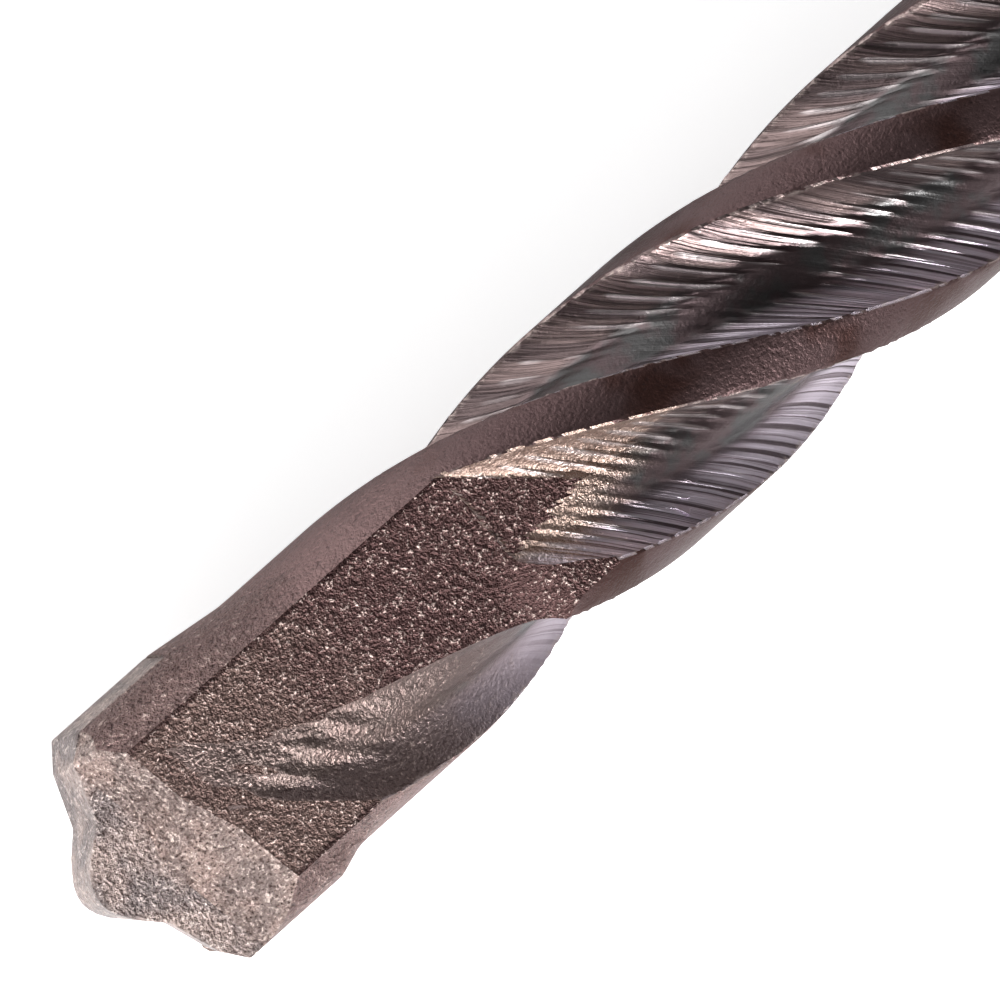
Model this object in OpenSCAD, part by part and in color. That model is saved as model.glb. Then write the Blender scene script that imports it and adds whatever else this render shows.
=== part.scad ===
// Hammer drill bit for masonry: a fluted steel body with a slotted drive shank
// and a carbide tip plate brazed into a slot across its head.
// The bit lies along X with its point towards +X. The origin is on the axis, at
// the centre of the rear face that the hammer strikes. The flats of the head
// face up and down, and the tip plate lies level between them.
// Sizes are in millimetres.

/* [Overall] */
// Length from the rear face to the point of the tip plate
overall_length = 160; // [120:1:210]
// Diameter across the tip plate, which is the size of the hole it drills
drill_diameter = 10; // [9.5:0.1:12]
// Diameter over the spiral lands of the steel body
land_diameter = 9.2; // [8.6:0.05:11]

/* [Spiral] */
// Length of one full turn of the lands
spiral_pitch = 55.3; // [40:0.1:80]
// Angle that one land covers round the axis
land_angle = 23.5; // [15:0.5:35]
// Radius of the flute floor as a share of the land radius
floor_share = 0.63; // [0.5:0.01:0.8]
// Angle over which a flute wall rises from the floor to the land
wall_angle = 20; // [8:0.5:28]
// Angle of the first land at the point, measured from the top
land_phase = 0.85; // [-45:0.1:45]
// Length over which the flutes fade out in front of the shank
runout_length = 14; // [6:0.5:25]
// Plain round length between the shank and the end of the fade
plain_length = 4; // [2:0.5:15]
// Spacing of the sections that the spiral body is drawn with
section_step = 1.5; // [1:0.1:3]

/* [Head] */
// Distance of the two head flats from the axis
flat_distance = 2.96; // [2.6:0.01:3.6]
// Distance behind the point at which the flats end
flat_length = 17.8; // [14:0.1:24]
// Distance of the second, tilted flats from the axis
tilted_flat_distance = 3.38; // [3:0.01:4]
// Tilt of the second flats about the axis
tilted_flat_angle = -6.6; // [-15:0.1:15]
// Distance behind the point at which the second flats end
tilted_flat_length = 20.8; // [18:0.1:26]
// Distance over which the floor of the first pair of flutes stays flat past the flats
flat_overrun = 4.2; // [0:0.1:8]
// Distance behind the point at which the second pair of flutes starts
second_flute_start = 4.7; // [3:0.1:10]
// Distance behind the point up to which the second flutes leave one half of the flats whole
shallow_length = 9.3; // [5:0.1:14]

/* [Tip plate] */
// Thickness of the carbide plate
plate_thickness = 2.5; // [1.8:0.05:3.5]
// Length of the plate from its point to its rear end
plate_length = 7.1; // [5:0.1:10]
// Half width of the centring point at its foot
nub_half_width = 2.1; // [1.4:0.05:2.8]
// Height of the centring point above its foot
nub_height = 1.4; // [0.8:0.05:2]
// Distance of the edge's outer bend behind the point
bend_drop = 2.08; // [1.5:0.01:3]
// Distance of the edge's outer bend from the axis
bend_radius = 3.96; // [3:0.01:4.6]
// Distance of the outer corners behind the point
corner_drop = 2.77; // [2:0.01:4]
// Angle by which the plate's front faces fall away behind their cutting edges
relief_angle = 6; // [2:0.5:20]
// Angle by which the plate's side faces fall away behind their leading corners
side_clearance = 3.5; // [1:0.5:8]
// Distance behind the point of the face that backs an edge, beside the plate
backing_drop = 2.3; // [1.5:0.05:3]
// Slope of the backing face, as length for each millimetre outwards
backing_slope = 0.78; // [0.3:0.02:1.5]
// Distance behind the point of the bevel that clears the backing face's outer corner
bevel_drop = 2.7; // [2.2:0.05:3.5]
// Slope of the bevel, as length for each millimetre away from the axis
bevel_slope = 1.4; // [0.8:0.1:2.5]
// Distance behind the point of the face in front of an edge, beside the plate
clearing_drop = 2.96; // [2:0.02:4]
// Slope of the clearing face, as length for each millimetre outwards
clearing_slope = 1.35; // [0.5:0.05:2]
// Length of the long ramp behind the plate on one side
long_ramp = 3; // [1:0.1:6]
// Length of the short ramp behind the plate on the other side
short_ramp = 1.1; // [0.5:0.1:3]

/* [Shank] */
// Diameter of the shank that the chuck guides
shank_diameter = 10; // [9.9:0.02:10.2]
// Length of the shank
shank_length = 40; // [36:0.5:50]
// Chamfer at the rear end
rear_chamfer = 1; // [0.4:0.1:1.5]
// Length of the cone between the shank and the spiral body
front_cone = 1.5; // [1:0.1:3]
// Width of the two drive slots that are open at the rear
drive_slot_width = 3; // [2:0.1:3.6]
// Depth of the drive slots below the shank's surface
drive_slot_depth = 1.7; // [1:0.05:2.2]
// Length of the drive slots at full depth
drive_slot_length = 28; // [20:0.5:32]
// Radius of the two closed grooves that the locking balls run in
lock_groove_radius = 3.5; // [3:0.05:3.7]
// Depth of the ball grooves below the shank's surface
lock_groove_depth = 1.6; // [1:0.05:2]
// Distance from the rear face to the rear end of the ball grooves
lock_groove_start = 9; // [6:0.5:14]
// Distance from the rear face to the front end of the ball grooves
lock_groove_end = 29; // [22:0.5:34]

/* [Colours] */
// Colour of the steel body
steel_colour = [0.30, 0.26, 0.25];
// Colour of the carbide plate
carbide_colour = [0.55, 0.52, 0.52];

/* [Hidden] */
$fn = 96;
eps = 0.01;
land_radius = land_diameter / 2;
drill_radius = drill_diameter / 2;
shank_radius = shank_diameter / 2;
floor_radius = land_radius * floor_share;
turn_per_mm = 360 / spiral_pitch;
flute_angle = 90 - land_angle;
half_plate = plate_thickness / 2;
// Distance of the plate's leading corners from the axis, along the plate
side_reach = sqrt(pow(drill_radius, 2) - pow(half_plate, 2));
// Angles of the points of one quarter, from the middle of a land onwards
wall_steps = [0.07, 0.22, 0.43, 0.7, 1];
quarter_angles = concat(
    [-land_angle / 2, 0, land_angle / 2],
    [for (w = wall_steps) land_angle / 2 + w * wall_angle],
    [45],
    [for (i = [0 : 4]) 90 - land_angle / 2 - wall_steps[4 - i] * wall_angle]
);
quarter_count = len(quarter_angles);
ring_count = 4 * quarter_count;
// Sections of the spiral body, as distances behind the point
body_end = overall_length - shank_length + 2;
fade_end = overall_length - shank_length - plain_length;
fade_start = fade_end - runout_length;
first_flute_start = flat_length - 0.6;
head_step_count = round((first_flute_start - second_flute_start - 0.6) / section_step);
head_step = (first_flute_start - second_flute_start - 0.6) / head_step_count;
long_step_count = round((fade_end - first_flute_start - 0.3) / section_step);
long_step = (fade_end - first_flute_start - 0.3) / long_step_count;
sections = concat(
    [0.02, second_flute_start - 0.3],
    [for (i = [0 : head_step_count - 1]) second_flute_start + 0.3 + i * head_step],
    [first_flute_start - 0.3],
    [for (i = [0 : long_step_count]) first_flute_start + 0.3 + i * long_step],
    [body_end]
);
section_count = len(sections);

// Share of the full depth, from 0 at the surface to 1 on the flute floor
function wall_share(u) = u >= 1 ? 1 : sqrt(1 - pow(1 - max(u, 0), 2));

// Share of the flute depth at an angle from the land edge
function profile_share(a) = wall_share(min(a, flute_angle - a) / wall_angle);

// Share of its depth that a flute has at a distance behind the point. The flutes
// after lands 0 and 2 start just before the flats end, the others start near the point.
function flute_grown(q, d) =
    q % 2 == 0 ? (d < first_flute_start ? 0 : 1)
    : d < second_flute_start ? 0
    : min(1, 0.92 + 0.08 * (d - second_flute_start) / 3.8);
function flute_fade(d) =
    d <= fade_start ? 1 : d >= fade_end ? 0 : 1 - pow((d - fade_start) / runout_length, 2);

// Whether the flats' level still limits a flute: the first ones on their whole floor
// just past the flats, the second ones only on one half of the flats near the point
function at_flat_level(q, d, turn) =
    q % 2 == 0 ? d > first_flute_start && d < flat_length + flat_overrun
    : d < shallow_length && sin(turn) * cos(turn) < -0.08;

// Radius below which a flute doesn't cut where its floor stays at the flats' level
function flat_floor(q, d, turn) =
    abs(cos(turn)) > 0.6 && at_flat_level(q, d, turn) ? flat_distance / abs(cos(turn)) : 0;

function point_radius(q, a, d, turn) =
    a <= land_angle / 2 ? land_radius
    : min(land_radius, max(
        flat_floor(q, d, turn),
        land_radius - (land_radius - floor_radius) * flute_fade(d) * flute_grown(q, d)
        * profile_share(a - land_angle / 2)
    ));

function ring_point(q, a, d) =
    let (
        turned = turn_per_mm * min(max(d, second_flute_start - 0.3), fade_end),
        turn = land_phase + turned + 90 * q + a,
        r = point_radius(q, a, d, turn)
    )
    [overall_length - d, r * sin(turn), r * cos(turn)];

body_points = [
    for (d = sections) for (q = [0 : 3]) for (a = quarter_angles) ring_point(q, a, d)
];

function at(i, j) = i * ring_count + j % ring_count;

side_faces = [
    for (i = [0 : section_count - 2]) for (j = [0 : ring_count - 1])
    for (f = [[at(i, j), at(i + 1, j), at(i + 1, j + 1)], [at(i, j), at(i + 1, j + 1), at(i, j + 1)]]) f
];
front_face = [[for (j = [0 : ring_count - 1]) j]];
rear_face = [[for (j = [0 : ring_count - 1]) at(section_count - 1, ring_count - 1 - j)]];

// Spiral body with four lands and four flutes, before the head is shaped
module spiral_body() {
    polyhedron(points = body_points, faces = concat(side_faces, front_face, rear_face), convexity = 10);
}

// Blocks that remove all that lies above the flats on one side of the head
module flat_cutter() {
    translate([overall_length - flat_length, -10, flat_distance])
        cube([flat_length + 5, 20, 10]);
    rotate([-tilted_flat_angle, 0, 0])
        translate([overall_length - tilted_flat_length, 0.4, tilted_flat_distance])
            cube([tilted_flat_length - flat_length + eps, 10, 10]);
}

// Block in front of a sloping face through a point beside the plate
module slope_cutter(drop, y, slope_out, slope_across) {
    translate([overall_length - drop, y, half_plate])
        rotate([0, -atan(slope_out * cos(atan(slope_across))), atan(slope_across)])
            translate([0, -20, -20])
                cube([20, 40, 40]);
}

// The steel backs one cutting edge and is cut deeper in front of the other
module jaw_cutter() {
    intersection() {
        union() {
            slope_cutter(backing_drop, -3.45, backing_slope, 0.2);
            slope_cutter(bevel_drop, -4.43, 0.6, -bevel_slope);
        }
        translate([overall_length - 10, -10, 0])
            cube([14, 10, 10]);
    }
    intersection() {
        slope_cutter(clearing_drop, 2.71, clearing_slope, 0.2);
        translate([overall_length - 10, 0, 0])
            cube([14, 10, 10]);
    }
}

// Draws its children twice, half a turn apart about the axis
module both_sides() {
    children();
    rotate([180, 0, 0])
        children();
}

// Slot across the head that the tip plate is brazed into
module plate_slot() {
    translate([overall_length - plate_length, -10, -half_plate])
        cube([plate_length + 5, 20, plate_thickness]);
}

// Block on the inner side of the plate's relieved side face
module side_limit(length) {
    translate([overall_length - plate_length - length, side_reach, half_plate])
        rotate([-side_clearance, 0, 0])
            translate([0, -20, -20])
                cube([length + plate_length + 1, 20, 40]);
}

// Ramp of steel and braze that rises to the plate's edge from behind
module edge_ramp(length, side) {
    intersection() {
        translate([overall_length - plate_length - length, 0, 0])
            rotate([0, 90, 0])
                cylinder(h = length, r1 = land_radius - 0.05, r2 = drill_radius);
        translate([overall_length - plate_length - length - 1, side * 6.2 - 3, -half_plate])
            cube([length + 1, 6, plate_thickness]);
        rotate([side > 0 ? 0 : 180, 0, 0])
            side_limit(length + 1);
    }
}

// Fluted steel from the shank to the jaws that hold the plate
module head_and_spiral() {
    difference() {
        spiral_body();
        both_sides() {
            flat_cutter();
            jaw_cutter();
        }
        plate_slot();
    }
    edge_ramp(long_ramp, -1);
    edge_ramp(short_ramp, 1);
}

// Round shank with a chamfer at the rear and a cone at the front
module shank_bar() {
    rotate([0, 90, 0])
        cylinder(h = rear_chamfer, r1 = shank_radius - rear_chamfer, r2 = shank_radius);
    translate([rear_chamfer, 0, 0])
        rotate([0, 90, 0])
            cylinder(h = shank_length - rear_chamfer, r = shank_radius);
    translate([shank_length, 0, 0])
        rotate([0, 90, 0])
            cylinder(h = front_cone, r1 = shank_radius, r2 = shank_radius - front_cone * 0.8);
}

// Drive slot, open at the rear, with a rounded bottom corner at its front end
module drive_slot() {
    translate([-1, -drive_slot_width / 2, shank_radius - drive_slot_depth])
        cube([drive_slot_length + 1, drive_slot_width, 5]);
    translate([drive_slot_length, 0, shank_radius - drive_slot_depth + 3])
        rotate([90, 0, 0])
            cylinder(h = drive_slot_width, r = 3, center = true);
}

// Closed groove for a locking ball, with a ball's form at each end
module lock_groove() {
    centre = shank_radius - lock_groove_depth + lock_groove_radius;
    first = lock_groove_start + lock_groove_radius;
    last = lock_groove_end - lock_groove_radius;
    translate([first, centre, 0])
        rotate([0, 90, 0])
            cylinder(h = last - first, r = lock_groove_radius);
    for (x = [first, last])
        translate([x, centre, 0])
            sphere(r = lock_groove_radius);
}

module steel_body() {
    color(steel_colour) {
        difference() {
            shank_bar();
            both_sides() {
                drive_slot();
                lock_groove();
            }
        }
        head_and_spiral();
    }
}

// Outline of one half of the plate, from the point outwards
module plate_outline() {
    polygon([
        [-plate_length - 3, 0], [0, 0], [-0.04, 0.3], [-0.16, 0.62], [-0.42, 1.01], [-0.69, 1.37],
        [-nub_height, nub_half_width], [-bend_drop, bend_radius],
        [-corner_drop, drill_radius], [-plate_length - 3, drill_radius]
    ]);
}

// Half of the plate, whose front falls away behind its cutting edge
module plate_half() {
    intersection() {
        translate([overall_length, 0, half_plate])
            rotate([0, relief_angle, 0])
                translate([0, 0, -10])
                    linear_extrude(height = 20)
                        plate_outline();
        translate([overall_length - plate_length, 0, -half_plate])
            cube([plate_length + 1, drill_radius + 1, plate_thickness]);
        side_limit(1);
    }
}

module carbide_tip() {
    color(carbide_colour)
        both_sides()
            plate_half();
}

steel_body();
carbide_tip();
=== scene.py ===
import math

import bmesh
import bpy
from mathutils import Matrix, Vector

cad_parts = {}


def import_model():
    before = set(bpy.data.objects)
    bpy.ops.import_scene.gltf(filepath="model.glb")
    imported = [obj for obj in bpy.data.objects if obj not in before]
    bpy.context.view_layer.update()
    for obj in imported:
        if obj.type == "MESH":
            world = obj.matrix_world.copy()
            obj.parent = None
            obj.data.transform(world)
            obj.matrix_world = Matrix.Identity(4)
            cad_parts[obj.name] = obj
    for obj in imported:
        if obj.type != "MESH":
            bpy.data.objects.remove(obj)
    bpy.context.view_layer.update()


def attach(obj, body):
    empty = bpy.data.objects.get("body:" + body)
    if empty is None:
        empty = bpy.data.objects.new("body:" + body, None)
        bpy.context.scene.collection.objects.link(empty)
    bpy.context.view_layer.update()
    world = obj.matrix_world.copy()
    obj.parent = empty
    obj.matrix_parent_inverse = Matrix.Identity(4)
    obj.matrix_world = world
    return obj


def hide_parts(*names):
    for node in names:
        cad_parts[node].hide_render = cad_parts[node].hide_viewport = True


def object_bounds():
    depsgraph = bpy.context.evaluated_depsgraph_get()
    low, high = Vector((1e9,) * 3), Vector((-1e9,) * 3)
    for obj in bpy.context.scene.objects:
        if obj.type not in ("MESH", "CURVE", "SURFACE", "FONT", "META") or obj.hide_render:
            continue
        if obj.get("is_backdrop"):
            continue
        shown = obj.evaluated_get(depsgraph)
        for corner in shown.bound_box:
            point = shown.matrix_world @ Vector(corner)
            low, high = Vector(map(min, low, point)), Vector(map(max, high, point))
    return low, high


bl_info = {
    "name": "Masonry Drill Bit",
    "version": (1, 0, 0),
    "blender": (4, 5, 0),
    "location": "3D View > Sidebar > Drill Bit",
    "description": "Builds a fluted masonry drill bit with a carbide tip on a plain floor",
    "category": "Add Mesh",
}

# Millimetres in the node trees become metres in the finished pieces
MM = 0.001
LAND_STEPS, WALL_STEPS, FLOOR_STEPS = 7, 12, 8
QUARTER_STEPS = LAND_STEPS + 2 * WALL_STEPS + FLOOR_STEPS + 2


class BitSizes(bpy.types.PropertyGroup):
    """Sizes of the drill bit, in millimetres and degrees."""

    length: bpy.props.FloatProperty(name="Length", description="Rear face to point", default=160.0)
    land_radius: bpy.props.FloatProperty(name="Land radius", description="Radius over the lands", default=4.6)
    drill_radius: bpy.props.FloatProperty(name="Drill radius", description="Radius over the plate", default=5.0)
    pitch: bpy.props.FloatProperty(name="Pitch", description="Length of one turn of a land", default=55.3)
    land_angle: bpy.props.FloatProperty(name="Land angle", description="Angle covered by a land", default=23.5)
    floor_share: bpy.props.FloatProperty(name="Floor share", description="Flute floor radius share", default=0.63)
    phase: bpy.props.FloatProperty(name="Phase", description="Angle of the first land at the point", default=0.85)
    runout: bpy.props.FloatProperty(name="Run-out", description="Length of the flutes' fade", default=14.0)
    fade_end: bpy.props.FloatProperty(name="Fade end", description="End of the flutes from the point", default=116.0)
    flat: bpy.props.FloatProperty(name="Flat", description="Distance of the flats from the axis", default=2.96)
    flat_length: bpy.props.FloatProperty(name="Flat length", description="End of the flats", default=17.8)
    flat_overrun: bpy.props.FloatProperty(name="Overrun", description="Flat floor past the flats", default=4.2)
    tilted_flat: bpy.props.FloatProperty(name="Tilted flat", description="Its distance from the axis", default=3.38)
    second_start: bpy.props.FloatProperty(name="Second start", description="Start of later flutes", default=4.7)
    plate_length: bpy.props.FloatProperty(name="Plate length", description="Point to rear end", default=7.1)
    plate_thickness: bpy.props.FloatProperty(name="Plate thickness", description="Thickness", default=2.5)
    relief: bpy.props.FloatProperty(name="Relief", description="Drop behind a cutting edge", default=0.26)
    rib_spacing: bpy.props.FloatProperty(name="Rib spacing", description="Tool marks along a flute", default=0.87)
    rib_depth: bpy.props.FloatProperty(name="Rib depth", description="Depth of the tool marks", default=0.13)
    rib_lean: bpy.props.FloatProperty(name="Rib lean", description="Length of a mark per width", default=1.26)
    scallop_depth: bpy.props.FloatProperty(name="Scallop depth", description="At the second flutes' start", default=0.14)
    burr: bpy.props.FloatProperty(name="Burr", description="Raggedness of the land edges", default=0.05)
    seed: bpy.props.IntProperty(name="Seed", description="Seed of all random detail", default=7)


class BitColours(bpy.types.PropertyGroup):
    """Colours of the bit's zones and of the floor."""

    land: bpy.props.FloatVectorProperty(
        name="Land", description="Ground land", subtype="COLOR", default=(0.105, 0.066, 0.066))
    flute: bpy.props.FloatVectorProperty(
        name="Flute", description="Flute floor", subtype="COLOR", default=(0.10, 0.072, 0.075))
    flat: bpy.props.FloatVectorProperty(
        name="Flat", description="Head flats", subtype="COLOR", default=(0.085, 0.047, 0.045))
    jaw: bpy.props.FloatVectorProperty(
        name="Jaw", description="Blasted jaws", subtype="COLOR", default=(0.25, 0.195, 0.18))
    shank: bpy.props.FloatVectorProperty(
        name="Shank", description="Ground shank", subtype="COLOR", default=(0.36, 0.34, 0.33))
    carbide: bpy.props.FloatVectorProperty(
        name="Carbide", description="Tip plate", subtype="COLOR", default=(0.21, 0.175, 0.17))
    floor: bpy.props.FloatVectorProperty(
        name="Floor", description="Floor", subtype="COLOR", default=(0.95, 0.95, 0.95))


class Num:
    """A number that flows through a node tree, so that formulas can be written as such."""

    def __init__(self, maker, socket):
        self.maker = maker
        self.socket = socket

    def __add__(self, other):
        return self.maker.math("ADD", self, other)

    __radd__ = __add__

    def __mul__(self, other):
        return self.maker.math("MULTIPLY", self, other)

    __rmul__ = __mul__

    def __sub__(self, other):
        return self.maker.math("SUBTRACT", self, other)

    def __rsub__(self, other):
        return self.maker.math("SUBTRACT", other, self)

    def __truediv__(self, other):
        return self.maker.math("DIVIDE", self, other)

    def __rtruediv__(self, other):
        return self.maker.math("DIVIDE", other, self)


class TreeMaker:
    """Builds a geometry node tree with named inputs, one formula or mesh step at a time."""

    def __init__(self, name):
        self.tree = bpy.data.node_groups.new(name, "GeometryNodeTree")
        self.tree.interface.new_socket("Geometry", in_out="OUTPUT", socket_type="NodeSocketGeometry")
        self.inputs = self.tree.nodes.new("NodeGroupInput")
        self.settings = {}

    def value(self, name, default):
        kind = "NodeSocketInt" if isinstance(default, int) else "NodeSocketFloat"
        socket = self.tree.interface.new_socket(name, in_out="INPUT", socket_type=kind)
        self.settings[socket.identifier] = default
        return Num(self, self.inputs.outputs[name])

    def link(self, target, source):
        if isinstance(source, Num):
            source = source.socket
        if isinstance(source, bpy.types.NodeSocket):
            self.tree.links.new(source, target)
        else:
            target.default_value = source

    def math(self, operation, *values):
        node = self.tree.nodes.new("ShaderNodeMath")
        node.operation = operation
        for target, source in zip(node.inputs, values):
            self.link(target, source)
        return Num(self, node.outputs[0])

    def sin(self, degrees):
        return self.math("SINE", degrees * (math.pi / 180))

    def cos(self, degrees):
        return self.math("COSINE", degrees * (math.pi / 180))

    def low(self, a, b):
        return self.math("MINIMUM", a, b)

    def high(self, a, b):
        return self.math("MAXIMUM", a, b)

    def clamp(self, a, low=0.0, high=1.0):
        return self.low(self.high(a, low), high)

    def ease(self, a, start, end):
        t = self.clamp((a - start) / (end - start))
        return t * t * (3.0 - 2.0 * t)

    def mix(self, a, b, t):
        return a + (b - a) * t

    def more(self, a, b):
        return self.math("GREATER_THAN", a, b)

    def node(self, kind, inputs=None, **settings):
        node = self.tree.nodes.new(kind)
        for key, value in settings.items():
            setattr(node, key, value)
        for key, value in (inputs or {}).items():
            self.link(node.inputs[key], value)
        return node

    def vector(self, x, y, z):
        return self.node("ShaderNodeCombineXYZ", {0: x, 1: y, 2: z}).outputs[0]

    def index(self):
        return Num(self, self.node("GeometryNodeInputIndex").outputs[0])

    def read(self, name):
        return Num(self, self.node(
            "GeometryNodeInputNamedAttribute", {"Name": name}, data_type="FLOAT").outputs[0])

    def place(self):
        node = self.node("ShaderNodeSeparateXYZ", {0: self.node("GeometryNodeInputPosition").outputs[0]})
        return [Num(self, node.outputs[i]) for i in range(3)]

    def noise(self, x, y, z, scale, detail=2.0):
        node = self.node(
            "ShaderNodeTexNoise", {"Vector": self.vector(x, y, z), "Scale": scale, "Detail": detail})
        return Num(self, node.outputs[0])

    def chance(self, seed, low=-1.0, high=1.0):
        node = self.node("FunctionNodeRandomValue", data_type="FLOAT")
        self.link(node.inputs[2], low)
        self.link(node.inputs[3], high)
        self.link(node.inputs[8], seed)
        return Num(self, node.outputs[1])

    def pick(self, index, values):
        node = self.node("GeometryNodeIndexSwitch", data_type="FLOAT")
        while len(node.index_switch_items) < len(values):
            node.index_switch_items.new()
        self.link(node.inputs[0], index)
        for i, value in enumerate(values):
            self.link(node.inputs[1 + i], value)
        return Num(self, node.outputs[0])

    def moved(self, mesh, x, y, z):
        return self.node("GeometryNodeSetPosition", {0: mesh, 2: self.vector(x, y, z)}).outputs[0]

    def merged(self, mesh, distance=0.0005):
        return self.node("GeometryNodeMergeByDistance", {0: mesh, "Distance": distance}).outputs[0]

    def flipped(self, mesh):
        return self.node("GeometryNodeFlipFaces", {0: mesh}).outputs[0]

    def grid(self, rows, columns):
        node = self.node("GeometryNodeMeshGrid", {"Vertices X": rows, "Vertices Y": columns})
        index = self.index()
        row = self.math("FLOOR", (index + 0.5) / float(columns))
        return node.outputs[0], row, index - row * float(columns)

    def revolve(self, profile, around):
        """Closed solid of revolution about X from (x, radius) pairs that run from axis to axis."""
        mesh, row, column = self.grid(len(profile), around + 1)
        x = self.pick(row, [p[0] for p in profile])
        r = self.pick(row, [p[1] for p in profile])
        turn = column * (-360.0 / around)
        return self.flipped(self.merged(self.moved(mesh, x, r * self.sin(turn), r * self.cos(turn))))

    def box(self, low, high):
        size = [b - a for a, b in zip(low, high)]
        middle = [(a + b) / 2 for a, b in zip(low, high)]
        cube = self.node("GeometryNodeMeshCube", {"Size": size}).outputs[0]
        return self.shifted(cube, middle)

    def shifted(self, mesh, offset=(0, 0, 0), turn=(0, 0, 0), scale=(1, 1, 1)):
        node = self.node("GeometryNodeTransform", {"Geometry": mesh})
        node.inputs["Translation"].default_value = offset
        node.inputs["Rotation"].default_value = [math.radians(a) for a in turn]
        node.inputs["Scale"].default_value = scale
        return node.outputs[0]

    def zoned(self, mesh, zone):
        node = self.node(
            "GeometryNodeStoreNamedAttribute", {"Geometry": mesh, "Name": "zone"},
            data_type="FLOAT", domain="FACE")
        self.link(node.inputs["Value"], zone)
        return node.outputs[0]

    def stored(self, mesh, name, value):
        node = self.node(
            "GeometryNodeStoreNamedAttribute", {"Geometry": mesh, "Name": name},
            data_type="FLOAT", domain="POINT")
        self.link(node.inputs["Value"], value)
        return node.outputs[0]

    def combine(self, operation, first, others):
        node = self.node("GeometryNodeMeshBoolean", operation=operation, solver="MANIFOLD")
        if operation == "DIFFERENCE":
            self.link(node.inputs[0], first)
            for other in others:
                self.tree.links.new(other, node.inputs[1])
        else:
            for other in [first] + list(others):
                self.tree.links.new(other, node.inputs[1])
        return node.outputs[0]

    def joined(self, meshes):
        node = self.node("GeometryNodeJoinGeometry")
        for mesh in meshes:
            self.tree.links.new(mesh, node.inputs[0])
        return node.outputs[0]

    def finish(self, mesh, material, sharp=30.0):
        """Scales to metres, marks sharp edges and zone borders, and sets the material."""
        mesh = self.shifted(mesh, scale=(MM, MM, MM))
        zone = self.read("zone")
        mean = self.on_edge(zone)
        spread = self.on_edge(zone * zone) - mean * mean
        angle = Num(self, self.node("GeometryNodeInputMeshEdgeAngle").outputs[0])
        hard = self.high(self.more(angle, math.radians(sharp)), self.more(spread, 0.001))
        mesh = self.node(
            "GeometryNodeSetShadeSmooth", {"Geometry": mesh, "Shade Smooth": True}, domain="FACE").outputs[0]
        node = self.node(
            "GeometryNodeSetShadeSmooth", {"Geometry": mesh, "Shade Smooth": False}, domain="EDGE")
        self.link(node.inputs["Selection"], hard)
        mesh = self.node("GeometryNodeRealizeInstances", {0: node.outputs[0]}).outputs[0]
        mesh = self.node("GeometryNodeSetMaterial", {0: mesh, "Material": material}).outputs[0]
        self.link(self.tree.nodes.new("NodeGroupOutput").inputs[0], mesh)

    def on_edge(self, value):
        face = self.node("GeometryNodeFieldOnDomain", {0: value}, domain="FACE", data_type="FLOAT")
        edge = self.node("GeometryNodeFieldOnDomain", {0: face.outputs[0]}, domain="EDGE", data_type="FLOAT")
        return Num(self, edge.outputs[0])

    def make(self, name):
        """Runs the tree once and returns its result as a plain mesh object."""
        holder = bpy.data.objects.new(name + "_holder", bpy.data.meshes.new(name + "_holder"))
        bpy.context.scene.collection.objects.link(holder)
        modifier = holder.modifiers.new("Nodes", "NODES")
        modifier.node_group = self.tree
        for identifier, value in self.settings.items():
            modifier[identifier] = value
        bpy.context.view_layer.update()
        shown = holder.evaluated_get(bpy.context.evaluated_depsgraph_get())
        mesh = bpy.data.meshes.new_from_object(shown)
        mesh.name = name
        holder.modifiers.remove(modifier)
        bpy.data.objects.remove(holder)
        if not mesh.polygons:
            raise RuntimeError(name + " came out empty")
        piece = bpy.data.objects.new(name, mesh)
        bpy.context.scene.collection.objects.link(piece)
        return piece


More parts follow.
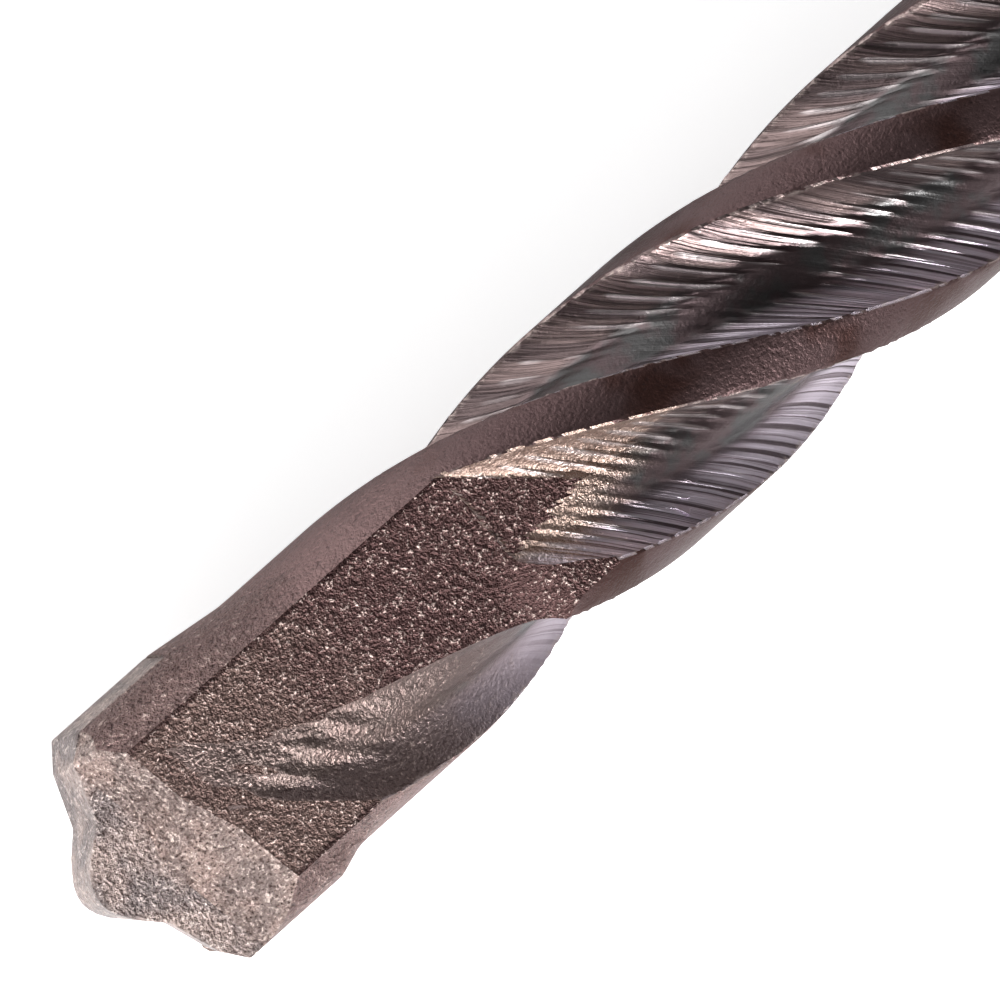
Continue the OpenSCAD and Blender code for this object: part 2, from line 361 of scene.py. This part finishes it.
def spiral_body(t, p):
    """Body with four lands and four flutes, with tool marks on the flute walls."""
    length, land = t.value("Length", p.length), t.value("Land Radius", p.land_radius)
    pitch, phase = t.value("Pitch", p.pitch), t.value("Phase", p.phase)
    floor_radius = land * t.value("Floor Share", p.floor_share)
    half_land = t.value("Land Angle", p.land_angle) * 0.5
    runout, fade_end = t.value("Run-out", p.runout), t.value("Fade End", p.fade_end)
    flat, flat_length = t.value("Flat", p.flat), t.value("Flat Length", p.flat_length)
    overrun, second = t.value("Overrun", p.flat_overrun), t.value("Second Start", p.second_start)
    spacing, depth = t.value("Rib Spacing", p.rib_spacing), t.value("Rib Depth", p.rib_depth)
    lean, burr = t.value("Rib Lean", p.rib_lean), t.value("Burr", p.burr)
    scallop_depth = t.value("Scallop Depth", p.scallop_depth)
    seed = t.value("Seed", p.seed)

    near_rows, far_rows = 280, 190
    rows = near_rows + far_rows
    mesh, row, column = t.grid(rows + 2, 4 * QUARTER_STEPS + 1)
    step = t.clamp(row - 1.0, 0.0, rows - 1.0)
    lay = t.low(step, float(near_rows)) * (spacing / 5.0) + t.high(step - float(near_rows), 0.0) * 0.42 - 1.7
    around = t.math("FLOORED_MODULO", column, 4.0 * QUARTER_STEPS)
    quarter = t.math("FLOOR", (around + 0.5) / float(QUARTER_STEPS))
    k = around - quarter * float(QUARTER_STEPS)

    # Angle within a quarter, from just inside one edge of the land to the same place on the next
    edge, wall = 1.2, 19.5
    floor_angle = 90.0 - half_land * 2.0 + 1.4 - 2.0 * (edge + wall)
    start = LAND_STEPS
    rise = t.clamp(k - float(start + 1), 0.0, WALL_STEPS) / float(WALL_STEPS)
    floor_start = start + 1 + WALL_STEPS
    fall = 1.0 - t.clamp(k - float(floor_start + FLOOR_STEPS), 0.0, WALL_STEPS) / float(WALL_STEPS)
    a = (0.7 - half_land) + t.clamp(k, 0.0, LAND_STEPS) * ((half_land * 2.0 - 1.4) / float(LAND_STEPS))
    a = a + t.clamp(k - float(start), 0.0, 1.0) * edge + rise * rise * wall
    a = a + t.clamp(k - float(floor_start), 0.0, FLOOR_STEPS) * (floor_angle / float(FLOOR_STEPS))
    a = a + (1.0 - fall * fall) * wall + t.clamp(k - float(QUARTER_STEPS - 1), 0.0, 1.0) * edge
    inside = t.more(k, start + 0.5) * t.more(QUARTER_STEPS - 0.5, k)
    on_edge = inside * t.more(2.0, t.math("ABSOLUTE", k - (start + 1.0)) * 4.0)
    on_far_edge = t.more(0.5, t.math("ABSOLUTE", k - (QUARTER_STEPS - 1.0)))
    u = t.low(rise, fall)
    share = t.math("SQRT", t.clamp(1.0 - (1.0 - u * u) * (1.0 - u * u)))

    # Each row of points lies along a tool mark, and slants back across the land to the next flute
    width = (land - (land - floor_radius) * share) * t.sin(a - 45.0)
    on_land = t.more(LAND_STEPS + 0.5, k)
    over_land = land * t.sin(45.0 - half_land) * (1.0 - k * (2.0 / LAND_STEPS))
    d = t.clamp(lay + lean * t.mix(width, over_land, on_land), 1.6, length - 38.0)

    # How far each flute has grown at this distance behind the point
    first = t.more(0.5, t.math("FLOORED_MODULO", quarter, 2.0))
    grown_first = t.ease(d, flat_length + 0.08, flat_length + 0.3)
    grown_second = t.ease(d, second - 0.2, second + 0.2) * t.clamp(0.92 + (d - second) * (0.08 / 3.8), 0.0, 1.0)
    fade = t.clamp((d - fade_end + runout) / runout)
    grown = t.mix(grown_second, grown_first, first) * (1.0 - fade * fade)
    turned = (360.0 / pitch) * t.clamp(d, 0.0, fade_end)
    turn = phase + turned + quarter * 90.0 + a

    # Tool marks: straight scallops with sharp crests, on both walls and faintly on the floor
    flute_a = a - half_land
    wobble = t.noise(lay * 0.5, quarter, 0.0, 1.0) * 0.7
    far = t.more(d, 46.0)
    mark = t.sin(180.0 * ((lay + quarter * 0.37) / (spacing * (1.0 + far)) + wobble))
    crest = t.math("SQRT", mark * mark + 0.006)
    big = t.sin(180.0 * ((lay + 0.55) / 1.85))
    scallop = (1.0 - first) * t.ease(d, 13.0, 8.5) * (t.math("SQRT", big * big + 0.01) - 0.5)
    far_side = (90.0 - half_land * 2.0) - flute_a
    reach = (t.noise(lay * 1.1, quarter, 5.0, 1.0) - 0.5) * 34.0
    window = t.ease(flute_a, 0.4, 2.5) * (1.0 - t.ease(flute_a - reach, 17.0, 31.0))
    other = t.ease(far_side, 0.4, 2.5) * (1.0 - t.ease(far_side - reach, 11.0, 24.0)) * 0.8
    uneven = t.ease(t.noise(d * 0.22, quarter * 3.0, flute_a * 0.03, 1.0), 0.3, 0.6) * 1.3 + 0.2
    calm = 1.0 - (1.0 - first) * t.ease(d, 23.0, 17.0) * 0.85
    rib_share = (window + other + 0.06) * uneven * calm
    ribs = depth * (crest - 0.6) * rib_share + scallop_depth * scallop * t.ease(flute_a, 6.0, 16.0)
    rough = (t.noise(d * 3.0, flute_a * 0.5, quarter, 1.0, 3.0) - 0.5) * 0.03

    nick = burr * (t.chance(seed) * 0.9 + 0.2)
    chamfer = 0.05 + t.high(nick, -0.03) * (on_edge + on_far_edge)
    dip = chamfer + (land - floor_radius - 0.05) * share + ribs + rough
    beside = t.math("ABSOLUTE", t.sin(turn))
    swell = t.clamp(1.0 - (d - p.plate_length) / t.mix(3.0, 1.1, t.more(t.sin(turn), 0.0)))
    swell = swell * t.ease(beside, 0.78, 0.955) * 0.37
    r = land + swell - inside * dip * grown
    flat_r = flat / t.high(t.math("ABSOLUTE", t.cos(turn)), 0.6)

    # The flats run out slanting on one half, and on the other half in a tongue and a ragged edge
    out = flat * t.math("TANGENT", turn * (math.pi / 180))
    slanting = flat_length + overrun + 1.17 * out
    ragged = t.high(flat_length + 1.1 - 0.54 * out, flat_length + 0.45 + 1.49 * (out - 1.2)) - 0.7 * (crest - 0.5)
    flat_end = t.mix(ragged, slanting, t.more(0.0, out))
    flat_r = flat_r * (1.0 - 0.4 * t.ease(d - flat_end, 0.0, t.mix(3.6, 2.0, t.more(0.0, out))))
    past = first * t.more(d, flat_length - 1.0) * t.more(flat_end + 3.6, d)
    early = (1.0 - first) * t.more(9.6, d) * t.more(-0.08 + 0.25 * scallop, t.sin(turn) * t.cos(turn))
    flat_on = inside * (past + early) * t.more(t.math("ABSOLUTE", t.cos(turn)), 0.6)
    r = t.high(r, flat_on * t.low(flat_r, land))
    end = t.more(row, 0.5) * t.more(rows + 0.5, row)
    r = r * end
    mesh = t.stored(mesh, "depth", share * grown * inside)
    mesh = t.stored(mesh, "rim", (on_edge + on_far_edge) * grown)
    mesh = t.stored(mesh, "ridge", (1.0 - crest) * rib_share * inside * grown)
    mesh = t.stored(mesh, "side", t.ease(flute_a, 20.0, 48.0))
    mesh = t.stored(mesh, "lay", lay + quarter * 40.0)
    mesh = t.stored(mesh, "lip", t.ease(far_side, 13.0, 2.0))
    mesh = t.stored(mesh, "first", first)
    mesh = t.stored(mesh, "flat_end", (flat_end - d) * first)
    on_top = t.more(t.math("ABSOLUTE", t.cos(turn)), 0.6) * t.more(30.0, d)
    mesh = t.stored(mesh, "tongue", first * on_top * t.ease(out, 2.1, 1.1) * t.ease(d - flat_end, 5.2, 2.2))
    mesh = t.moved(mesh, length - d, r * t.sin(turn), r * t.cos(turn))
    mesh = t.flipped(t.merged(mesh, 0.0008))
    x, y, z = t.place()
    back = length - x
    on_land = t.more(t.math("SQRT", y * y + z * z), land - 0.03)
    level = t.more(0.05, t.math("ABSOLUTE", t.math("ABSOLUTE", z) - flat))
    level = level * t.more(back, flat_length - 0.2) * t.more(t.read("flat_end"), 0.0)
    return t.zoned(mesh, t.mix(1.0, 0.0, on_land) + level * (1.0 - on_land))


def head_cutters(t, p):
    """Blocks that cut the flats, the ramps beside them, the jaws and the plate's slot."""
    tip = p.length
    cube = t.node("GeometryNodeMeshCube", {
        "Size": (26.0, 18.0, 6.0), "Vertices X": 110, "Vertices Y": 60, "Vertices Z": 2}).outputs[0]
    cube = t.shifted(cube, (tip - 9.0, 0.0, 6.0))
    x, y, z = t.place()
    low = t.more(6.0, z)
    limit = p.flat_length + 0.32 + 2.68 * t.ease(y, -0.2, 0.9)
    d = t.low(tip - x, limit)
    tilted = p.tilted_flat / math.cos(math.radians(6.6)) + y * math.tan(math.radians(6.6))
    floor_z = t.mix(p.flat, tilted, t.ease(d, 16.9, 19.2) * t.ease(y, -0.2, 0.9))
    flat = t.moved(cube, tip - d, y, t.mix(z, floor_z, low))

    cube = t.node("GeometryNodeMeshCube", {
        "Size": (8.0, 18.0, 8.0), "Vertices X": 2, "Vertices Y": 72, "Vertices Z": 30}).outputs[0]
    cube = t.shifted(cube, (tip, 0.0, 4.0))
    x, y, z = t.place()
    backing = 2.35 + 0.76 * (z - 1.25) + 0.2 * (y + 3.45)
    bevel = 2.7 + 0.6 * (z - 1.25) - 1.4 * (y + 4.43)
    clearing = 2.96 + 1.35 * (z - 1.25) + 0.2 * (y - 2.71)
    surface = t.mix(t.high(backing, bevel), clearing, t.ease(y, -1.1, 0.7))
    surface = surface + (t.noise(y * 0.9, z * 0.9, 3.0, 1.0) - 0.5) * 0.3 * t.ease(z, 1.2, 2.2)
    jaw = t.moved(cube, t.mix(x, tip - surface, t.more(tip, x)), y, z)
    slot = t.box((tip - p.plate_length, -9, -p.plate_thickness / 2), (tip + 4, 9, p.plate_thickness / 2))
    cutters = [t.zoned(flat, 2.0), t.zoned(jaw, 3.0)]
    cutters += [t.shifted(c, turn=(180, 0, 0)) for c in cutters]
    return cutters + [t.zoned(slot, 4.0)]


def shank(t, p):
    """Round shank with two drive slots, two closed ball grooves and rounded edges."""
    bar = t.zoned(t.revolve([
        (0.0, 0.0), (0.0, 3.85), (0.05, 4.0), (0.95, 4.93), (1.1, 4.98), (1.3, 5.0), (39.8, 5.0),
        (40.0, 4.97), (40.12, 4.9), (41.5, 3.8), (41.5, 0.0)], 128), 6.0)
    ball = [(3.5 * math.cos(math.radians(b)), 3.5 * math.sin(math.radians(b))) for b in range(0, 91, 10)]
    groove = [(12.5 - c, s) for c, s in ball] + [(25.5 + c, s) for c, s in reversed(ball)]
    groove = t.zoned(t.shifted(t.revolve(groove, 64), (0, 6.9, 0)), 7.0)
    drive = t.box((-1, -1.5, 3.3), (28, 1.5, 9))
    wheel = t.revolve([(-1.5, 0), (-1.5, 3), (1.5, 3), (1.5, 0)], 96)
    wheel = t.shifted(wheel, (28, 0, 6.3), (0, 0, 90))
    drive = t.zoned(t.combine("UNION", drive, [wheel]), 7.0)
    cutters = [t.shifted(groove, turn=(a, 0, 0)) for a in (0, 180)]
    cutters += [t.shifted(drive, turn=(a, 0, 0)) for a in (0, 180)]
    return t.combine("DIFFERENCE", bar, cutters)


def rgb(colour):
    return (colour[0], colour[1], colour[2], 1.0)


class Shader:
    """Builds a material's node tree from small formulas on object coordinates."""

    def __init__(self, name):
        self.material = bpy.data.materials.new(name)
        self.material.use_nodes = True
        self.tree = self.material.node_tree
        self.surface = self.tree.nodes["Principled BSDF"]
        self.coords = self.tree.nodes.new("ShaderNodeTexCoord").outputs["Object"]

    def node(self, kind, inputs=None, **settings):
        node = self.tree.nodes.new(kind)
        for key, value in settings.items():
            setattr(node, key, value)
        for key, value in (inputs or {}).items():
            self.link(node.inputs[key], value)
        return node

    def link(self, target, source):
        if isinstance(source, Num):
            source = source.socket
        if isinstance(source, bpy.types.NodeSocket):
            self.tree.links.new(source, target)
        else:
            target.default_value = source

    def math(self, operation, *values):
        node = self.node("ShaderNodeMath", operation=operation)
        for target, source in zip(node.inputs, values):
            self.link(target, source)
        return Num(self, node.outputs[0])

    def stretched(self, scale, offset=(0, 0, 0), turn=(0, 0, 0)):
        node = self.node("ShaderNodeMapping", {"Vector": self.coords})
        node.inputs["Scale"].default_value = [1000 * s for s in scale]
        node.inputs["Location"].default_value = offset
        node.inputs["Rotation"].default_value = turn
        return node.outputs[0]

    def noise(self, scale, detail=3.0, rough=0.6, stretch=(1, 1, 1), offset=(0, 0, 0)):
        node = self.node("ShaderNodeTexNoise", {
            "Vector": self.stretched(stretch, offset), "Scale": scale, "Detail": detail, "Roughness": rough})
        return Num(self, node.outputs[0])

    def ramp(self, value, start, end):
        node = self.node("ShaderNodeMapRange", {
            "Value": value, "From Min": start, "From Max": end}, interpolation_type="SMOOTHSTEP")
        return Num(self, node.outputs[0])

    def read(self, name):
        return Num(self, self.node("ShaderNodeAttribute", attribute_name=name).outputs["Fac"])

    def behind_point(self, length):
        node = self.node("ShaderNodeSeparateXYZ", {0: self.coords})
        return length - Num(self, node.outputs[0]) * 1000.0

    def across(self, axis):
        return Num(self, self.node("ShaderNodeSeparateXYZ", {0: self.coords}).outputs[axis]) * 1000.0

    def lines(self, value, scale, detail=2.0):
        node = self.node("ShaderNodeTexNoise", {
            "W": value, "Scale": scale, "Detail": detail}, noise_dimensions="1D")
        return Num(self, node.outputs[0])

    def peak(self, value, middle, half_width):
        off = self.math("ABSOLUTE", value - middle) / half_width
        return self.ramp(off, 1.0, 0.0)

    def between(self, value, low, high):
        above = self.math("GREATER_THAN", value, low)
        return above * self.math("LESS_THAN", value, high)

    def mix(self, a, b, t):
        node = self.node("ShaderNodeMix", data_type="RGBA")
        self.link(node.inputs[0], t)
        self.link(node.inputs[6], a)
        self.link(node.inputs[7], b)
        return node.outputs[2]

    def number_mix(self, a, b, t):
        return a + (b - a) * t

    def bump(self, height, distance, strength=1.0, normal=None):
        node = self.node("ShaderNodeBump", {
            "Height": height, "Distance": distance * MM, "Strength": strength})
        if normal is not None:
            self.link(node.inputs["Normal"], normal)
        return node.outputs[0]


class Blasting:
    """Grain that blasting leaves on steel and carbide alike: its lumps, with masks for painted glints on its high
    spots and painted shade in its low pits.
    """

    def __init__(self, s):
        self.bold = s.noise(3.1, 3.0, 0.6, offset=(9, 2, 6))
        self.lumps = s.noise(4.2, 3.0, 0.62)
        self.fine = s.noise(9.0, 2.0, 0.6, offset=(3, 1, 4))
        self.mixed = self.lumps * 0.45 + self.fine * 0.55
        self.glint = s.ramp(self.mixed, 0.53, 0.63)
        # Painted shade in the grain's low spots
        self.pit_shade = s.ramp(self.mixed, 0.48, 0.38)
        # Painted glints on the grain's high spots, in two strengths
        self.spark_glint = s.ramp(self.bold * 0.25 + self.mixed * 0.75, 0.52, 0.6)
        self.sparse_glint = s.ramp(self.mixed, 0.55, 0.65)
        self.height = self.lumps * 0.9 + self.fine * 0.5


def steel_material(c, length):
    s = Shader("heat_tinted_steel")
    zone, depth, side = s.read("zone"), s.read("depth"), s.read("side")
    rim, ridge, lay = s.read("rim"), s.read("ridge"), s.read("lay")
    first, flat_end, lip = s.read("first"), s.read("flat_end"), s.read("lip")
    back, out = s.behind_point(length), s.across(1)
    flute = s.between(zone, 0.5, 1.5)
    flat = s.between(zone, 1.5, 2.5)
    jaw = s.between(zone, 2.5, 4.5)
    ground = s.between(zone, 5.5, 8.0)
    patches = s.noise(0.22, 3.0, 0.6)
    clouds = s.noise(0.5, 3.0, 0.6, offset=(7, 3, 1))
    grain = Blasting(s)
    streaks = s.lines(lay, 3.4, 3.0)
    hairs = s.lines(lay, 9.0, 2.0)

    # Blasting is strong at the point and fades out along the head
    blast = s.ramp(back + (clouds - 0.5) * 9.0, 13.5, 7.0)
    head = s.ramp(back + (clouds - 0.5) * 6.0, 21.0, 13.0)
    land = s.mix(rgb(c.land), (0.06, 0.028, 0.024, 1), s.ramp(patches, 0.48, 0.66))
    land = s.mix(land, (0.22, 0.14, 0.135, 1), head)
    land = s.mix(land, (0.23, 0.152, 0.142, 1), blast)
    # Painted shade: the lands are darkened in the grain's low spots
    land = s.mix(land, (0.05, 0.03, 0.03, 1), s.ramp(grain.mixed, 0.45, 0.36) * 0.6)

    # The flute walls are bare along both lands, and the floor between them is tinted dark; the far wall's lighter
    # lilac tone is partly heat tint and partly painted sheen
    wall = s.mix((0.18, 0.132, 0.127, 1), (0.25, 0.20, 0.225, 1), side)
    floor = s.mix(rgb(c.flute), (0.088, 0.086, 0.086, 1), s.ramp(clouds, 0.45, 0.62))
    on_floor = s.ramp(depth, 0.84, 1.0)
    groove = s.mix(wall, floor, on_floor)
    near_start = s.ramp(flat_end + (clouds - 0.5) * 3.0, -6.5, -2.5) * first * s.ramp(back, 34.0, 30.0)
    copper = near_start * s.ramp(side + (clouds - 0.5) * 0.5, 0.75, 0.35)
    copper = s.math("MAXIMUM", copper, s.read("tongue"))
    groove = s.mix(groove, (0.36, 0.26, 0.215, 1), copper * 0.85)
    early = s.ramp(back + (clouds - 0.5) * 5.0, 19.0, 11.0) * (1.0 - first)
    groove = s.mix(groove, (0.20, 0.145, 0.13, 1), early * 0.8)
    # Painted highlight: the crests of the tool marks are lightened in the colour
    groove = s.mix(groove, (0.75, 0.68, 0.68, 1), s.ramp(ridge, 0.45, 1.1) * 0.5)
    plain_start = (1.0 - first) * s.ramp(back, 23.0, 16.0)
    scored = (1.0 - on_floor) * (1.0 - copper) * (1.0 - plain_start)
    groove = s.mix(groove, (0.03, 0.024, 0.024, 1), s.ramp(streaks, 0.47, 0.35) * scored * 0.45)
    bands = s.ramp(s.lines(lay, 0.55, 1.0), 0.54, 0.42)
    groove = s.mix(groove, (0.05, 0.037, 0.04, 1), bands * scored * 0.6)
    # Painted sheen: a lilac-white reflection in streaks along the wall beside the next land's edge
    painted_lilac_sheen = lip * s.number_mix(s.ramp(streaks, 0.40, 0.54), 0.3, plain_start) * (1.0 - early)
    groove = s.mix(groove, (0.78, 0.70, 0.80, 1), painted_lilac_sheen * 0.8)

    plain = s.mix(rgb(c.flat), (0.145, 0.098, 0.085, 1), blast * 0.8)
    # Painted shade: a dark strip along the flats' border with the lands, where the land curves away
    shade_beside_land = s.ramp(s.math("ABSOLUTE", out), 3.27, 3.42)
    plain = s.mix(plain, (0.03, 0.014, 0.014, 1), shade_beside_land * 0.75)
    base = s.mix(land, groove, flute)
    base = s.mix(base, plain, flat)
    warm = s.mix(rgb(c.jaw), (0.38, 0.285, 0.255, 1), s.ramp(clouds, 0.42, 0.6))
    base = s.mix(base, warm, jaw)
    sandy = s.math("MAXIMUM", s.math("MAXIMUM", flat, jaw), blast)
    sandy = s.math("MAXIMUM", sandy, flute * s.math("MAXIMUM", copper * 0.8, early * 0.7))
    sandy = sandy * (1.0 - jaw)
    # Painted glints on the grain's high spots and painted shade in its low pits, on the blasted zones and more
    # strongly on the jaws
    base = s.mix(base, (0.70, 0.55, 0.50, 1), grain.sparse_glint * sandy * 0.75)
    base = s.mix(base, (0.035, 0.018, 0.018, 1), grain.pit_shade * sandy * 0.55)
    base = s.mix(base, (0.95, 0.79, 0.72, 1), grain.spark_glint * jaw * 0.6)
    base = s.mix(base, (0.08, 0.048, 0.042, 1), grain.pit_shade * jaw * 0.8)
    sandy = s.math("MAXIMUM", sandy, jaw)
    base = s.mix(base, rgb(c.shank), ground)
    # Painted highlight: light broken dashes along the land edges
    rim_highlight = rim * s.ramp(s.noise(3.0, 2.0), 0.45, 0.62)
    base = s.mix(base, (0.5, 0.41, 0.38, 1), rim_highlight * 0.6)
    s.link(s.surface.inputs["Base Color"], base)
    s.surface.inputs["Metallic"].default_value = 0.9

    rough = s.number_mix(0.42, 0.34, flute)
    rough = s.number_mix(rough, 0.38, sandy)
    rough = s.number_mix(rough, 0.3, jaw)
    rough = s.number_mix(rough, 0.27, ground)
    s.link(s.surface.inputs["Roughness"], rough + (grain.fine - 0.5) * 0.2)

    amount = s.number_mix(0.2, 0.08, flute) + blast * 1.9 + head * (1.0 - flute) * 0.4
    amount = s.number_mix(amount, 0.5, flute * s.math("MAXIMUM", copper, early))
    amount = s.number_mix(amount, 0.75, flat)
    amount = s.number_mix(amount, 1.4, jaw)
    amount = s.number_mix(amount, 0.02, ground)
    scratched = (streaks * 0.32 + hairs * 0.08) * flute * s.number_mix(1.0, 0.15, on_floor)
    scratched = scratched * (1.0 - s.math("MAXIMUM", copper, plain_start) * 0.75)
    s.link(s.surface.inputs["Normal"], s.bump(grain.height * amount + scratched, 0.2))
    return s.material


def carbide_material(c):
    s = Shader("blasted_carbide")
    grain = Blasting(s)
    patches = s.noise(0.6, 2.0, 0.5)
    base = s.mix(rgb(c.carbide), (0.38, 0.30, 0.275, 1), s.ramp(patches, 0.38, 0.62))
    # Painted glints on the grain's high spots and painted shade in its low pits
    base = s.mix(base, (0.95, 0.81, 0.76, 1), grain.spark_glint * 0.5)
    base = s.mix(base, (0.08, 0.05, 0.046, 1), grain.pit_shade * 0.65)
    s.link(s.surface.inputs["Base Color"], base)
    s.surface.inputs["Metallic"].default_value = 0.9
    s.link(s.surface.inputs["Roughness"], 0.33 + (grain.fine - 0.5) * 0.2)
    s.link(s.surface.inputs["Normal"], s.bump(grain.height * 1.2, 0.2))
    return s.material


def plate_mesh(p):
    """Tip plate: outline of the front, relief behind each edge, and softened edges."""
    outline = [
        (0, 0), (0.3, 0.04), (0.62, 0.16), (1.01, 0.42), (1.37, 0.69), (2.1, 1.4),
        (3.96, 2.08), (p.drill_radius, 2.77)]
    half = p.plate_thickness / 2
    sides = [(-y, x) for y, x in reversed(outline[1:])] + outline
    vertices, rings = [], []
    for level in (-half, half):
        ring = []
        for y, drop in sides:
            behind = level * (1 if y > 0 else -1) < 0
            fall = p.relief * min(1.0, max(0.0, abs(y) - 1.0)) if behind else 0.0
            edge = math.copysign(math.sqrt(p.drill_radius ** 2 - half ** 2), y) if abs(y) > 4.9 else y
            ring.append(len(vertices))
            vertices.append((p.length - drop - fall, edge, level))
        for side in (1, -1):
            ring.append(len(vertices))
            edge = side * math.sqrt(p.drill_radius ** 2 - half ** 2)
            vertices.append((p.length - p.plate_length, edge, level))
        rings.append(ring)
    low, high = rings
    count = len(low)
    faces = [tuple(high), tuple(reversed(low))]
    for i in range(count):
        j = (i + 1) % count
        faces.append((low[i], low[j], high[j], high[i]))
    mesh = bpy.data.meshes.new("carbide_tip_plate")
    mesh.from_pydata([tuple(v * MM for v in vertex) for vertex in vertices], [], faces)
    work = bmesh.new()
    work.from_mesh(mesh)
    bmesh.ops.recalc_face_normals(work, faces=work.faces)
    sharp = [e for e in work.edges if e.calc_face_angle(0) > math.radians(40)]
    bmesh.ops.bevel(work, geom=sharp, offset=0.07 * MM, segments=2, affect="EDGES", profile=0.6)
    work.to_mesh(mesh)
    work.free()
    return mesh


class BIT_OT_steel(bpy.types.Operator):
    """Builds the fluted steel body with its slotted shank in place of its plain solid"""

    bl_idname = "drill_bit.steel"
    bl_label = "Steel body"

    def execute(self, context):
        p, c = context.scene.bit_sizes, context.scene.bit_colours
        t = TreeMaker("Fluted Steel Body")
        body = t.combine("DIFFERENCE", spiral_body(t, p), head_cutters(t, p))
        body = t.combine("UNION", body, [shank(t, p)])
        t.finish(body, steel_material(c, p.length))
        piece = t.make("steel_drill_body")
        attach(piece, "root")
        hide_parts("steel_body")
        return {"FINISHED"}


class BIT_OT_carbide(bpy.types.Operator):
    """Builds the blasted carbide plate that is brazed into the head"""

    bl_idname = "drill_bit.carbide"
    bl_label = "Carbide tip"

    def execute(self, context):
        p, c = context.scene.bit_sizes, context.scene.bit_colours
        piece = bpy.data.objects.new("carbide_tip_plate", plate_mesh(p))
        context.scene.collection.objects.link(piece)
        piece.data.materials.append(carbide_material(c))
        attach(piece, "root")
        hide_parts("carbide_tip")
        return {"FINISHED"}


class BIT_OT_stage(bpy.types.Operator):
    """Sets the floor, the lamps, the world and the camera"""

    bl_idname = "drill_bit.stage"
    bl_label = "Stage"

    def execute(self, context):
        scene, c = context.scene, context.scene.bit_colours
        floor_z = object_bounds()[0][2]
        bpy.ops.mesh.primitive_plane_add(size=6, location=(0.08, 0, floor_z))
        floor = context.active_object
        floor.name = "floor"
        s = Shader("white_floor")
        s.surface.inputs["Base Color"].default_value = rgb(c.floor)
        s.surface.inputs["Roughness"].default_value = 0.9
        s.surface.inputs["Emission Color"].default_value = (1, 1, 1, 1)
        seen = s.node("ShaderNodeLightPath").outputs["Is Camera Ray"]
        s.link(s.surface.inputs["Emission Strength"], Num(s, seen) * 0.62)
        floor.data.materials.append(s.material)
        floor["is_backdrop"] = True

        across = Vector((0, math.cos(math.radians(9.7)), math.sin(math.radians(9.7))))
        near = Vector((0, -math.sin(math.radians(9.7)), math.cos(math.radians(9.7))))
        along = Vector((1, 0, 0))
        middle = along * 0.1401 - across * 0.000965
        right = (along * -0.7242 + across * 0.6652 + near * 0.179).normalized()
        back = along * 0.24 + near * 0.971
        back = (back - right * back.dot(right)).normalized()
        up = back.cross(right)
        camera = bpy.data.objects.new("camera", bpy.data.cameras.new("camera"))
        camera.data.sensor_width = 36
        camera.data.lens = 481.3
        camera.data.clip_start = 0.01
        place = Matrix((right, up, back)).transposed().to_4x4()
        place.translation = middle + back * 0.4548
        camera.matrix_world = place
        scene.collection.objects.link(camera)
        scene.camera = camera

        for name, direction, power, size in (
                ("key", along * 0.40 + across * 0.85 + near * 0.60, 6.0, 0.24),
                ("fill", along * 0.25 - across * 0.90 + near * 0.42, 2.2, 0.50),
                ("front", along * 0.95 + across * 0.05 + near * 0.40, 1.6, 0.25)):
            lamp = bpy.data.lights.new(name, "AREA")
            lamp.energy = power
            lamp.size = size
            holder = bpy.data.objects.new(name, lamp)
            place = direction.normalized() * 0.6 + middle
            holder.location = place
            holder.rotation_euler = (place - middle).to_track_quat("Z", "Y").to_euler()
            scene.collection.objects.link(holder)

        world = bpy.data.worlds.new("studio")
        world.use_nodes = True
        nodes, links = world.node_tree.nodes, world.node_tree.links
        soft = nodes["Background"]
        up_share = nodes.new("ShaderNodeSeparateXYZ")
        links.new(nodes.new("ShaderNodeTexCoord").outputs["Generated"], up_share.inputs[0])
        fade = nodes.new("ShaderNodeMapRange")
        fade.interpolation_type = "SMOOTHSTEP"
        fade.inputs["From Min"].default_value = 0.0
        fade.inputs["From Max"].default_value = 0.8
        fade.inputs["To Min"].default_value = 0.55
        fade.inputs["To Max"].default_value = 0.06
        links.new(up_share.outputs[2], fade.inputs["Value"])
        soft.inputs["Color"].default_value = (1.0, 0.97, 0.98, 1)
        links.new(fade.outputs[0], soft.inputs["Strength"])
        white = nodes.new("ShaderNodeBackground")
        white.inputs["Strength"].default_value = 1.0
        white.inputs["Color"].default_value = (1, 1, 1, 1)
        rays = nodes.new("ShaderNodeLightPath")
        mixed = nodes.new("ShaderNodeMixShader")
        links.new(rays.outputs["Is Camera Ray"], mixed.inputs[0])
        links.new(soft.outputs[0], mixed.inputs[1])
        links.new(white.outputs[0], mixed.inputs[2])
        links.new(mixed.outputs[0], nodes["World Output"].inputs[0])
        scene.world = world
        scene.view_settings.view_transform = "Standard"
        return {"FINISHED"}


class BIT_PT_panel(bpy.types.Panel):
    """Sidebar panel with the bit's sizes, colours and builders"""

    bl_idname = "BIT_PT_panel"
    bl_label = "Drill Bit"
    bl_space_type = "VIEW_3D"
    bl_region_type = "UI"
    bl_category = "Drill Bit"

    def draw(self, context):
        layout = self.layout
        for group in (context.scene.bit_sizes, context.scene.bit_colours):
            box = layout.box()
            for name in group.__annotations__:
                box.prop(group, name)
        for operator in (BIT_OT_steel, BIT_OT_carbide, BIT_OT_stage):
            layout.operator(operator.bl_idname)


CLASSES = (BitSizes, BitColours, BIT_OT_steel, BIT_OT_carbide, BIT_OT_stage, BIT_PT_panel)


def register():
    for cls in CLASSES:
        bpy.utils.register_class(cls)
    bpy.types.Scene.bit_sizes = bpy.props.PointerProperty(type=BitSizes)
    bpy.types.Scene.bit_colours = bpy.props.PointerProperty(type=BitColours)


def unregister():
    del bpy.types.Scene.bit_colours
    del bpy.types.Scene.bit_sizes
    for cls in reversed(CLASSES):
        bpy.utils.unregister_class(cls)


def main():
    register()
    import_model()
    bpy.ops.drill_bit.steel()
    bpy.ops.drill_bit.carbide()
    bpy.ops.drill_bit.stage()


if __name__ == "__main__":
    main()
